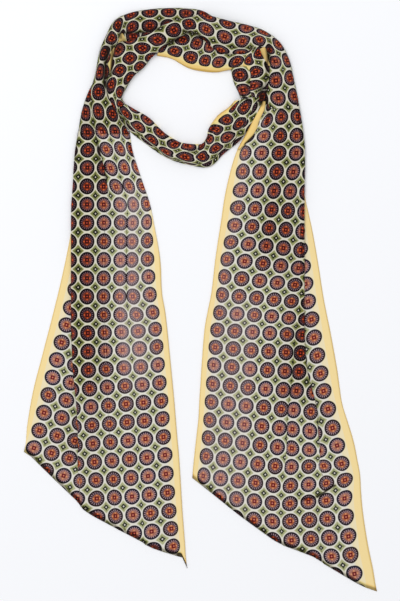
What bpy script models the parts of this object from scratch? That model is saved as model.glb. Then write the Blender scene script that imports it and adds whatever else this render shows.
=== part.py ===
"""A skinny scarf with slanted ends, laid flat and wound once into a small ring above its two tails.

The layout is drawn on squares of SQUARE metres, x to the right and y down towards the tails.
Every stretch is a loft through rows. A row runs from the outer side of the scarf's path to its
inner side, with its middle bowed aside by bow squares, and the section on it is a closed line of
stacked layers over a flat underside. Bases, rises, stacks and edges are heights in millimetres.
Lap, fold, under and tuck are shares of the row's width: where the lap ends, the pressed fold
lies, its hidden layers end and the small tuck stands.
"""

import math
from collections import namedtuple

import bpy
from mathutils import Vector

MM = 0.001
SQUARE = 0.88 * MM
CENTRE_X = 200.38
CENTRE_Y = 299.85

LAYER = 1.2 * MM
GROOVE = 0.5 * MM

WRAP_OUTER_LAYERS = 3
WRAP_INNER_LAYERS = 2
WRAP_SIDE_HEIGHT = 0.64
WRAP_SIDE_INSET = 2.6 * MM
WRAP_SIDE_INSET_SHARE = 0.14
WRAP_LAP_SHARE = 0.22
CROWN_START = 0.35
CROWN_STEPS = 4
LAP_FALL = 1.6
WRAP_UNDERSIDE_SHARES = (0.75, 0.5, 0.25)

FOLD_NOTCH_HEIGHTS = (0.22, 0.45, 0.68)
FOLD_ROUND = 2.0 * GROOVE
FOLD_SWELL = 0.12
FOLD_TOP_SHARES = (0.3, 0.65, 0.95)
FOLD_SLOPE = 6.0 * MM
PANEL_SHARES = (0.3, 0.62, 0.9)
TUCK_REACH = 0.11
TAIL_UNDERSIDE_SHARES = (0.8, 0.6, 0.4, 0.2)

MAUVE = (0.32, 0.19, 0.17)
SAGE = (0.46, 0.44, 0.31)
GOLD = (0.66, 0.50, 0.24)

BandRow = namedtuple("BandRow", "outer_x outer_y inner_x inner_y base_outer base_inner rise lap")
TailRow = namedtuple(
    "TailRow",
    "outer_x outer_y inner_x inner_y bow fold under stack tuck tuck_rise edge",
)

OUTER_LEFT_WRAP = [
    BandRow(78.6, 129.6, 126.3, 128.2, 0.0, 0.0, 4.6, 0.55),
    BandRow(80.0, 119.0, 116.0, 119.5, 0.0, 0.0, 5.0, 0.56),
    BandRow(82.5, 108.0, 108.5, 108.0, 0.0, 0.0, 5.6, 0.58),
    BandRow(86.5, 97.0, 105.0, 98.0, 0.0, 0.0, 6.0, 0.60),
    BandRow(90.5, 87.0, 105.3, 88.5, 0.0, 0.0, 6.1, 0.61),
    BandRow(94.5, 75.0, 107.8, 77.0, 0.0, 0.0, 6.1, 0.62),
    BandRow(97.0, 64.0, 110.0, 66.5, 0.0, 0.0, 6.0, 0.62),
    BandRow(99.5, 54.0, 111.3, 56.5, 0.0, 0.0, 6.0, 0.62),
    BandRow(103.0, 43.5, 112.8, 47.0, 0.0, 0.0, 6.0, 0.62),
    BandRow(107.5, 33.0, 115.3, 41.0, 0.0, 0.0, 6.0, 0.62),
    BandRow(111.5, 25.5, 118.0, 39.0, 0.0, 0.0, 6.0, 0.62),
    BandRow(117.0, 17.5, 122.5, 38.8, 0.0, 0.0, 6.1, 0.62),
    BandRow(126.0, 14.5, 129.0, 40.0, 0.0, 0.0, 6.2, 0.62),
    BandRow(137.0, 11.2, 137.0, 37.6, 0.0, 0.0, 6.0, 0.62),
    BandRow(148.0, 9.0, 144.5, 33.5, 0.0, 0.0, 5.4, 0.60),
    BandRow(160.0, 8.0, 152.0, 31.5, 0.0, 0.0, 4.8, 0.58),
    BandRow(173.0, 8.0, 158.0, 33.0, 0.0, 0.0, 4.4, 0.55),
    BandRow(187.0, 8.5, 160.0, 37.0, 0.0, 0.0, 4.3, 0.52),
    BandRow(200.0, 10.0, 160.5, 40.0, 0.0, 0.0, 4.3, 0.50),
    BandRow(211.0, 14.5, 160.3, 42.5, 0.0, 0.0, 4.3, 0.48),
    BandRow(219.5, 20.0, 159.5, 45.5, 0.0, 0.0, 4.3, 0.46),
]

INNER_BACK_WRAP = [
    BandRow(219.8, 20.4, 158.9, 46.3, 0.0, 0.0, 4.3, 0.46),
    BandRow(224.0, 27.0, 157.5, 54.3, 0.0, 0.0, 4.3, 0.47),
    BandRow(227.0, 33.0, 166.0, 57.0, 0.0, 0.0, 4.3, 0.49),
    BandRow(230.0, 39.5, 176.0, 60.0, 0.0, 0.0, 4.4, 0.51),
    BandRow(234.0, 46.0, 186.0, 65.0, 0.0, 0.0, 4.6, 0.53),
    BandRow(240.0, 50.8, 197.0, 71.0, 0.0, 0.0, 5.2, 0.55),
    BandRow(248.0, 51.2, 210.0, 72.8, 0.0, 0.0, 5.8, 0.56),
    BandRow(256.0, 50.2, 221.0, 72.0, 0.0, 0.0, 6.2, 0.56),
    BandRow(263.0, 53.0, 228.5, 70.0, 0.0, 0.0, 6.3, 0.55),
    BandRow(266.3, 61.5, 232.0, 76.0, 0.0, 0.0, 6.3, 0.54),
    BandRow(267.2, 75.0, 235.5, 84.0, 0.0, 0.0, 6.2, 0.53),
    BandRow(265.4, 88.0, 238.6, 91.0, 0.0, 0.0, 6.2, 0.52),
    BandRow(263.6, 97.0, 241.0, 97.2, 0.0, 0.0, 6.2, 0.50),
]

FRONT_WRAP = [
    BandRow(263.2, 97.5, 240.6, 97.7, 0.0, 0.0, 6.2, 0.50),
    BandRow(257.0, 105.5, 233.0, 104.0, 0.0, 0.0, 6.4, 0.52),
    BandRow(252.4, 112.5, 226.0, 109.5, 0.0, 0.0, 6.6, 0.54),
    BandRow(249.6, 120.5, 219.0, 114.5, 0.0, 0.0, 6.8, 0.55),
    BandRow(246.5, 128.5, 213.5, 121.0, 0.0, 0.0, 7.0, 0.56),
    BandRow(241.0, 136.0, 210.0, 127.0, 0.0, 0.0, 7.0, 0.57),
    BandRow(234.0, 143.8, 208.8, 133.5, 0.0, 0.0, 7.0, 0.58),
    BandRow(226.0, 151.0, 207.5, 139.5, 0.0, 0.0, 7.0, 0.58),
    BandRow(217.0, 158.5, 204.0, 143.6, 0.0, 0.0, 7.0, 0.58),
    BandRow(207.0, 166.5, 198.0, 144.4, 0.0, 0.0, 7.0, 0.58),
    BandRow(195.0, 166.0, 190.5, 144.0, 0.0, 0.0, 7.0, 0.58),
    BandRow(183.0, 163.7, 182.0, 142.6, 0.0, 0.0, 7.0, 0.58),
    BandRow(172.0, 159.8, 174.0, 140.0, 0.0, 0.0, 7.0, 0.57),
    BandRow(162.0, 153.5, 166.0, 136.0, 0.0, 0.0, 6.9, 0.56),
    BandRow(152.0, 146.8, 157.5, 128.7, 0.0, 0.0, 6.8, 0.55),
    BandRow(143.0, 140.8, 148.5, 120.0, 0.0, 0.0, 6.7, 0.54),
    BandRow(135.0, 133.5, 140.0, 113.0, 0.0, 0.0, 6.6, 0.53),
    BandRow(127.3, 126.7, 132.5, 108.3, 0.0, 0.0, 6.5, 0.52),
    BandRow(120.5, 120.5, 127.0, 105.0, 0.0, 0.0, 6.4, 0.51),
    BandRow(115.0, 117.2, 123.6, 101.9, 0.0, 0.0, 6.3, 0.50),
]

INNER_LEFT_WRAP = [
    BandRow(114.6, 116.8, 123.2, 101.5, 0.0, 0.0, 6.3, 0.50),
    BandRow(109.5, 106.8, 122.7, 97.0, 0.0, 0.0, 6.4, 0.50),
    BandRow(106.1, 97.5, 122.2, 92.5, 0.0, 0.0, 6.5, 0.50),
    BandRow(106.4, 89.0, 122.5, 87.5, 0.0, 0.0, 6.6, 0.50),
    BandRow(108.6, 79.0, 126.0, 82.6, 0.0, 0.0, 6.7, 0.50),
    BandRow(110.9, 68.5, 131.0, 78.5, 0.0, 0.0, 6.8, 0.50),
    BandRow(111.9, 58.0, 135.5, 74.8, 0.0, 0.0, 6.9, 0.50),
    BandRow(113.7, 48.5, 139.0, 71.5, 0.0, 0.0, 7.0, 0.50),
    BandRow(117.0, 42.0, 142.0, 68.8, 0.0, 0.0, 7.0, 0.50),
    BandRow(123.0, 41.0, 144.5, 66.2, 0.0, 0.0, 7.0, 0.50),
    BandRow(131.0, 42.0, 147.0, 63.0, 0.1, 0.1, 7.0, 0.50),
    BandRow(138.5, 39.2, 149.3, 60.0, 0.8, 0.8, 6.9, 0.50),
    BandRow(145.5, 34.6, 151.5, 57.5, 2.6, 2.6, 6.6, 0.50),
    BandRow(153.5, 32.2, 154.5, 55.0, 4.3, 4.3, 6.2, 0.50),
    BandRow(161.5, 26.5, 159.5, 50.5, 4.8, 4.8, 6.0, 0.50),
    BandRow(171.0, 22.3, 168.0, 44.5, 4.8, 4.8, 5.8, 0.50),
    BandRow(180.5, 19.8, 178.0, 37.5, 4.8, 4.8, 5.7, 0.50),
    BandRow(189.0, 17.5, 188.0, 32.5, 4.8, 4.8, 5.7, 0.50),
    BandRow(196.8, 14.6, 196.9, 33.0, 4.8, 4.8, 5.7, 0.50),
]

OUTER_RIGHT_WRAP = [
    BandRow(197.3, 14.4, 197.4, 33.3, 4.8, 4.8, 5.7, 0.50),
    BandRow(209.0, 16.3, 206.0, 39.0, 4.8, 4.8, 5.7, 0.50),
    BandRow(220.0, 20.0, 214.0, 44.0, 4.6, 4.8, 5.8, 0.50),
    BandRow(232.0, 22.7, 223.5, 47.5, 3.6, 4.8, 6.0, 0.50),
    BandRow(244.0, 25.5, 233.0, 49.0, 2.0, 4.4, 6.2, 0.50),
    BandRow(255.0, 27.3, 243.0, 50.2, 0.8, 2.2, 6.4, 0.50),
    BandRow(263.0, 31.5, 252.0, 49.6, 0.2, 0.6, 6.6, 0.50),
    BandRow(271.0, 37.0, 260.0, 49.0, 0.0, 0.0, 6.7, 0.50),
    BandRow(278.0, 43.5, 265.6, 52.6, 0.0, 0.0, 6.7, 0.50),
    BandRow(284.0, 53.0, 268.0, 61.5, 0.0, 0.0, 6.6, 0.50),
    BandRow(289.0, 65.0, 268.8, 70.5, 0.0, 0.0, 6.3, 0.50),
    BandRow(292.3, 78.0, 268.4, 80.0, 0.0, 0.0, 5.9, 0.50),
    BandRow(295.5, 90.0, 267.0, 90.0, 0.0, 0.0, 5.4, 0.51),
    BandRow(298.0, 100.5, 265.2, 98.5, 0.0, 0.0, 4.9, 0.52),
]

LEFT_TAIL = [
    TailRow(78.5, 130.1, 127.2, 128.8, 0.0, 0.020, 0.62, 4.4, 0.36, 0.3, 2.0),
    TailRow(75.0, 150.0, 131.5, 150.0, 0.0, 0.020, 0.62, 4.2, 0.44, 0.5, 1.8),
    TailRow(73.5, 170.0, 137.5, 170.0, 0.0, 0.020, 0.60, 4.0, 0.50, 0.7, 1.6),
    TailRow(72.3, 190.0, 144.0, 190.0, 0.0, 0.020, 0.55, 3.9, 0.60, 0.9, 1.5),
    TailRow(71.0, 211.0, 150.5, 211.0, 0.0, 0.020, 0.49, 3.9, 0.67, 1.0, 1.4),
    TailRow(70.2, 237.0, 158.3, 237.0, 0.0, 0.030, 0.43, 3.8, 0.64, 1.0, 1.3),
    TailRow(66.0, 261.0, 160.3, 264.0, 0.0, 0.060, 0.41, 3.8, 0.64, 0.9, 1.3),
    TailRow(57.0, 300.0, 162.3, 306.0, 0.0, 0.135, 0.39, 3.8, 0.66, 0.6, 1.3),
    TailRow(46.5, 341.0, 168.0, 350.0, 0.0, 0.206, 0.39, 3.7, 0.66, 0.3, 1.3),
    TailRow(37.2, 377.0, 172.5, 392.0, 0.0, 0.274, 0.39, 3.6, 0.65, 0.1, 1.3),
    TailRow(30.8, 403.0, 176.0, 430.0, 0.0, 0.312, 0.39, 3.4, 0.65, 0.0, 1.3),
    TailRow(27.4, 423.0, 179.5, 468.0, 0.0, 0.332, 0.38, 3.0, 0.65, 0.0, 1.3),
    TailRow(25.7, 437.0, 182.1, 505.0, 0.0, 0.332, 0.37, 2.5, 0.65, 0.0, 1.3),
    TailRow(25.8, 445.0, 184.2, 537.0, 5.0, 0.332, 0.37, 1.9, 0.65, 0.0, 1.4),
    TailRow(27.0, 451.5, 184.6, 564.5, 13.0, 0.332, 0.37, 1.5, 0.65, 0.0, 1.7),
]

RIGHT_TAIL = [
    TailRow(298.1, 101.0, 264.0, 99.0, 0.0, 0.030, 0.60, 4.6, 0.45, 0.2, 2.2),
    TailRow(301.3, 115.0, 253.6, 115.0, 0.0, 0.025, 0.58, 4.4, 0.45, 0.2, 2.0),
    TailRow(303.5, 130.0, 249.0, 128.5, 0.0, 0.020, 0.52, 4.2, 0.45, 0.1, 1.8),
    TailRow(304.9, 150.0, 239.0, 150.0, 0.0, 0.020, 0.44, 4.0, 0.45, 0.0, 1.6),
    TailRow(305.2, 175.0, 228.6, 175.0, 0.0, 0.020, 0.38, 3.9, 0.45, 0.0, 1.5),
    TailRow(306.3, 197.0, 225.0, 197.0, 0.0, 0.025, 0.36, 3.8, 0.45, 0.0, 1.4),
    TailRow(311.3, 226.0, 220.8, 224.0, 0.0, 0.075, 0.35, 3.8, 0.45, 0.0, 1.3),
    TailRow(317.7, 260.0, 215.4, 260.0, 0.0, 0.130, 0.36, 3.8, 0.45, 0.0, 1.3),
    TailRow(324.2, 300.0, 210.0, 300.0, 0.0, 0.172, 0.36, 3.8, 0.42, 0.1, 1.3),
    TailRow(331.0, 335.0, 203.8, 337.0, 0.0, 0.208, 0.37, 3.7, 0.37, 0.3, 1.3),
    TailRow(337.0, 368.0, 201.2, 372.0, 0.0, 0.222, 0.38, 3.6, 0.34, 0.6, 1.3),
    TailRow(341.0, 399.0, 199.5, 405.0, 0.0, 0.185, 0.33, 3.4, 0.37, 0.8, 1.3),
    TailRow(348.9, 426.0, 197.8, 430.0, 0.0, 0.203, 0.30, 3.1, 0.41, 0.8, 1.3),
    TailRow(358.0, 461.0, 195.0, 449.0, 0.0, 0.236, 0.30, 2.7, 0.43, 0.5, 1.3),
    TailRow(361.8, 500.0, 193.2, 463.5, 0.0, 0.220, 0.29, 2.2, 0.43, 0.2, 1.3),
    TailRow(367.2, 541.0, 192.4, 473.0, -3.0, 0.210, 0.28, 1.7, 0.43, 0.0, 1.4),
    TailRow(375.2, 591.8, 193.2, 479.5, -8.0, 0.210, 0.28, 1.5, 0.43, 0.0, 1.7),
]


def smooth_rows(rows, steps):
    """The rows with steps - 1 rows put between each two, on a curve through all of them."""
    smoothed = []
    for i in range(len(rows) - 1):
        before = rows[max(i - 1, 0)]
        start = rows[i]
        end = rows[i + 1]
        after = rows[min(i + 2, len(rows) - 1)]
        for step in range(steps):
            share = step / steps
            values = []
            for a, b, c, d in zip(before, start, end, after):
                bend = 2 * a - 5 * b + 4 * c - d
                twist = 3 * (b - c) + d - a
                values.append(b + 0.5 * share * (c - a + share * (bend + share * twist)))
            smoothed.append(type(start)(*values))
    smoothed.append(rows[-1])
    return smoothed


def on_layout(x, y):
    """The place on the ground of a point on the layout's squares."""
    return Vector(((x - CENTRE_X) * SQUARE, (CENTRE_Y - y) * SQUARE, 0.0))


def layered_side(height, inset, layers):
    """The (inset, height) points up one side of stacked layers, with a groove over each lower one."""
    points = [(GROOVE, 0.0)]
    for layer in range(layers):
        nose = inset * (layer / layers) ** 2
        points.append((nose, height * (layer + 0.5) / layers))
        back = GROOVE if layer < layers - 1 else FOLD_ROUND
        points.append((nose + back, height * (layer + 1) / layers))
    return points


def band_section(width, row):
    """The closed line of a wrap: layered sides, a soft crown and the edge of the lap on it."""
    rise = row.rise * MM
    side = WRAP_SIDE_HEIGHT * rise
    inset = min(WRAP_SIDE_INSET, WRAP_SIDE_INSET_SHARE * width)
    outer = layered_side(side, inset, WRAP_OUTER_LAYERS)
    inner = layered_side(side, inset, WRAP_INNER_LAYERS)
    lap = row.lap * width
    lap_foot = rise - min(LAYER, WRAP_LAP_SHARE * rise)
    section = list(outer)
    start = outer[-1][0]
    for crest in range(1, CROWN_STEPS):
        share = crest / CROWN_STEPS
        turn = 0.5 * math.pi * (CROWN_START + (1 - CROWN_START) * share)
        section.append((start + share * (lap - start), side + (rise - side) * math.sin(turn)))
    section.append((lap, 0.75 * rise + 0.25 * lap_foot))
    section.append((lap - 0.4 * GROOVE, lap_foot))
    end = width - inner[-1][0]
    for crest in range(1, CROWN_STEPS):
        share = crest / CROWN_STEPS
        section.append((lap + share * (end - lap), lap_foot - (lap_foot - side) * share**LAP_FALL))
    for across, height in reversed(inner):
        section.append((width - across, height))
    for share in WRAP_UNDERSIDE_SHARES:
        section.append((share * width, 0.0))
    return section


def tail_section(width, row):
    """The closed line of a tail: a lower panel that shows beside the pressed fold lying on it."""
    stack = row.stack * MM
    edge = row.edge * MM
    folded = stack - edge
    fold = max(row.fold * width, FOLD_ROUND)
    under = row.under * width
    tuck = row.tuck * width
    section = [(GROOVE, 0.0), (0.0, 0.5 * edge), (0.8 * GROOVE, edge)]
    section.append((max(0.55 * fold, 1.2 * GROOVE), edge))
    section.append((fold, edge))
    low, middle, high = FOLD_NOTCH_HEIGHTS
    section.append((fold - 0.4 * GROOVE, edge + low * folded))
    section.append((fold + 0.6 * GROOVE, edge + middle * folded))
    section.append((fold, edge + high * folded))
    section.append((fold + FOLD_ROUND, stack))
    tops = []
    for share in FOLD_TOP_SHARES:
        swell = FOLD_SWELL * folded * math.sin(math.pi * share)
        tops.append((fold + FOLD_ROUND + share * (under - fold), stack + swell))
    panel = LAYER + FOLD_SWELL * folded
    slope = min(FOLD_SLOPE, 0.5 * (width - under))
    tops.append((under + 0.5 * slope, 0.5 * (stack + panel)))
    foot = under + slope
    tops.append((foot, panel))
    for share in PANEL_SHARES:
        tops.append((foot + share * (width - foot), panel))
    for across, height in tops:
        nearness = max(0.0, 1.0 - abs(across - tuck) / (TUCK_REACH * width))
        section.append((across, height + row.tuck_rise * MM * nearness))
    section.append((width - 1.2 * GROOVE, 0.95 * edge))
    section.append((width, 0.5 * edge))
    section.append((width - GROOVE, 0.0))
    for share in TAIL_UNDERSIDE_SHARES:
        section.append((share * width, 0.0))
    return section


def loft(name, rows, section_of, colour):
    """One closed mesh through the sections on all the rows, as an object of its own."""
    points = []
    for row in rows:
        outer = on_layout(row.outer_x, row.outer_y)
        inner = on_layout(row.inner_x, row.inner_y)
        across = inner - outer
        width = across.length
        across.normalize()
        along = Vector((across.y, -across.x, 0.0))
        base_outer = max(getattr(row, "base_outer", 0.0), 0.0) * MM
        base_inner = max(getattr(row, "base_inner", 0.0), 0.0) * MM
        bow = getattr(row, "bow", 0.0) * SQUARE
        for distance, height in section_of(width, row):
            share = distance / width
            place = outer + across * distance
            place += along * (4.0 * bow * share * (1.0 - share))
            place.z = base_outer + (base_inner - base_outer) * share + height
            points.append(place)
    count = len(points) // len(rows)
    faces = [tuple(range(count))]
    for ring in range(len(rows) - 1):
        first = ring * count
        second = first + count
        for i in range(count):
            j = (i + 1) % count
            faces.append((first + i, second + i, second + j, first + j))
    last = (len(rows) - 1) * count
    faces.append(tuple(range(last + count - 1, last - 1, -1)))
    mesh = bpy.data.meshes.new(name)
    mesh.from_pydata(points, [], faces)
    mesh.update()
    volume = 0.0
    for face in mesh.polygons:
        volume += face.center.dot(face.normal) * face.area
    if volume < 0:
        mesh.flip_normals()
    material = bpy.data.materials.new("cloth_" + name)
    material.use_nodes = True
    shader = material.node_tree.nodes["Principled BSDF"]
    shader.inputs["Base Color"].default_value = (*colour, 1.0)
    shader.inputs["Roughness"].default_value = 0.7
    mesh.materials.append(material)
    built = bpy.data.objects.new(name, mesh)
    scarf.objects.link(built)
    return built


for old in list(bpy.data.objects):
    bpy.data.objects.remove(old)

scarf = bpy.data.collections.new("skinny_scarf")
bpy.context.scene.collection.children.link(scarf)

loft("left_tail", smooth_rows(LEFT_TAIL, 3), tail_section, MAUVE)
loft("outer_left_wrap", smooth_rows(OUTER_LEFT_WRAP, 2), band_section, SAGE)
loft("inner_back_wrap", smooth_rows(INNER_BACK_WRAP, 2), band_section, GOLD)
loft("front_wrap", smooth_rows(FRONT_WRAP, 2), band_section, SAGE)
loft("inner_left_wrap", smooth_rows(INNER_LEFT_WRAP, 2), band_section, MAUVE)
loft("outer_right_wrap", smooth_rows(OUTER_RIGHT_WRAP, 2), band_section, SAGE)
loft("right_tail", smooth_rows(RIGHT_TAIL, 3), tail_section, MAUVE)
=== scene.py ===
"""A long printed scarf with slanted ends, laid flat and wound into a ring above its two tails.

The layout is drawn on squares of SQUARE metres, x to the right and y down towards the tails. The
strip is printed with nine columns of medallions. A place across it is a column number, from
NEAR_EDGE to FAR_EDGE, and a place along it is a row number. The left tail and the outer left
stretch count their rows up from near the left hem. The other stretches count down from near the
right hem, so their numbers are below zero.
"""

import math
from collections import namedtuple

import bmesh
import bpy
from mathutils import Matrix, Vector


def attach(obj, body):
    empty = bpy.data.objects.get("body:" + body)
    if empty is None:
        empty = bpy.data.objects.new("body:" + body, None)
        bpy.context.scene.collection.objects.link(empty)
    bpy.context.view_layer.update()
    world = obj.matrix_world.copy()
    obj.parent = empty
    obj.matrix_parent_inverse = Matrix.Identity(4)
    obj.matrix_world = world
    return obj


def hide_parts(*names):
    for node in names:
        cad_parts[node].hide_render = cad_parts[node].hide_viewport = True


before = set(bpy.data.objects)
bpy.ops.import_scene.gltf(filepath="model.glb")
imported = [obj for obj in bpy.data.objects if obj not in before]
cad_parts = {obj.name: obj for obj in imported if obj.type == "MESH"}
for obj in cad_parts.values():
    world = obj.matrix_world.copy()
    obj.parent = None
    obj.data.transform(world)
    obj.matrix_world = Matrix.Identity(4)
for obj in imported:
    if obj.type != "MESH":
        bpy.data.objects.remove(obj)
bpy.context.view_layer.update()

# The cloth
# A light printed twill: medallions in nine columns on a cream and sage ground, with a plain
# gold border down each long side. The reverse shows the same print, paler.

MM = 0.001
PITCH = 16.0 * MM
FIRST_COLUMN = 14.5 * MM

# Places on the flat cut, in millimetres. A pair is where a shape of the print begins and is full.
NEAR_BORDER = 6.6
FAR_BORDER = 149.4
BORDER_BLUR = 0.3
STRIP_MIDDLE = 77.5
STITCHING = (76.0, 76.9)
MARGIN_MIDDLE = 78.5
MARGIN = (64.5, 68.5)
GROUND_EDGE = (3.2, 4.8)
LEAF_OUTSIDE = (7.5, 8.1)
LEAF_TIP = (5.8, 4.6)
DIAMOND = (2.9, 2.2)
DIAMOND_EYE = (1.1, 0.5)
MEDALLION = (7.2, 6.8)
RING = (6.2, 5.8)
RING_TICKS = (5.9, 5.2)
HEART = (5.1, 4.3)
FLAME = (4.4, 3.4)
PETALS_OUT = 2.7
PETAL = (1.0, 0.2)
HEART_SQUARE = (1.9, 1.5)
HEART_DOT = (0.9, 0.4)

# The ticks round a medallion's ring, how blotched the ground is, and the lots of the hearts.
TICKS_ROUND = 18.0
TICK_EDGE = (0.0, 0.8)
BLOTCH_SCALE = 0.55
BLOTCHES = (0.35, 0.65)
PLUM_HEARTS = (0.5, 1.5)
ROSE_FLAMES = (0.1, -0.5)

# What the painted shade does to the print: 0 on open cloth, more in a fold, below 0 a painted sheen.
DEEPER = 1.42
DEEPENING = (0.0, 0.9)
HARDENING = (0.5, 1.2)
HARDEST = 0.7
DARKENING = (0.8, 2.8)
DARKEST = 0.95
PALING = (0.0, -1.0)
PALEST = 0.6

CREAM = (219, 216, 206)
PARCHMENT = (232, 219, 182)
SAGE = (176, 178, 136)
MOSS = (124, 130, 84)
INK = (40, 42, 36)
NAVY = (26, 22, 40)
TAR = (42, 28, 28)
PLUM = (64, 44, 50)
MAUVE = (170, 146, 158)
ROSE = (160, 108, 92)
ORANGE = (166, 92, 58)
PEACH = (222, 152, 104)
MAROON = (98, 14, 22)
BLUSH = (204, 124, 108)
GOLD = (240, 216, 156)
STITCH = (226, 196, 128)
# DUSK and SHEEN are not in the print: DUSK is the colour of painted shade, SHEEN of a painted sheen.
DUSK = (20, 11, 5)
SHEEN = (205, 186, 190)


def dye(shade):
    """The linear colour of a shade given as red, green and blue up to 255."""
    linear = []
    for part in shade:
        part = part / 255.0
        linear.append(part / 12.92 if part <= 0.04045 else ((part + 0.055) / 1.055) ** 2.4)
    return (*linear, 1.0)


class Reading:
    """A number carried between the nodes of one material."""

    def __init__(self, nodes, socket):
        self.nodes = nodes
        self.socket = socket

    def __add__(self, other):
        return self.nodes.maths("ADD", self, other)

    def __sub__(self, other):
        return self.nodes.maths("SUBTRACT", self, other)

    def __rsub__(self, other):
        return self.nodes.maths("SUBTRACT", other, self)

    def __mul__(self, other):
        return self.nodes.maths("MULTIPLY", self, other)

    def __abs__(self):
        return self.nodes.maths("ABSOLUTE", self)


class Nodes:
    """The nodes of one material."""

    MIX_BELOW = 6
    MIX_ABOVE = 7
    MIX_RESULT = 2

    def __init__(self, name):
        self.material = bpy.data.materials.new(name)
        self.material.use_nodes = True
        self.tree = self.material.node_tree
        self.tree.nodes.clear()

    def add(self, kind, settings, values):
        """A new node with its settings made first, then its values set or linked."""
        node = self.tree.nodes.new(kind)
        for name, setting in settings.items():
            setattr(node, name, setting)
        for name, value in values.items():
            if isinstance(value, Reading):
                value = value.socket
            if isinstance(value, bpy.types.NodeSocket):
                self.tree.links.new(value, node.inputs[name])
            else:
                node.inputs[name].default_value = value
        return node

    def maths(self, operation, *values):
        """What one operation makes of one number or two."""
        node = self.add("ShaderNodeMath", {"operation": operation}, dict(enumerate(values)))
        return Reading(self, node.outputs[0])

    def rise(self, value, start, end):
        """0 at start and before it, 1 at end and past it, eased between them."""
        settings = {"interpolation_type": "SMOOTHSTEP"}
        values = {"Value": value, "From Min": start, "From Max": end}
        node = self.add("ShaderNodeMapRange", settings, values)
        return Reading(self, node.outputs["Result"])

    def over(self, share, below, above):
        """The colour above laid on the one below, by share."""
        return self.mix({"data_type": "RGBA"}, share, below, above)

    def mix(self, settings, share, below, above):
        """The colour above mixed into the one below in the way that settings say, by share."""
        values = {"Factor": share, self.MIX_BELOW: below, self.MIX_ABOVE: above}
        return self.add("ShaderNodeMix", settings, values).outputs[self.MIX_RESULT]


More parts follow.
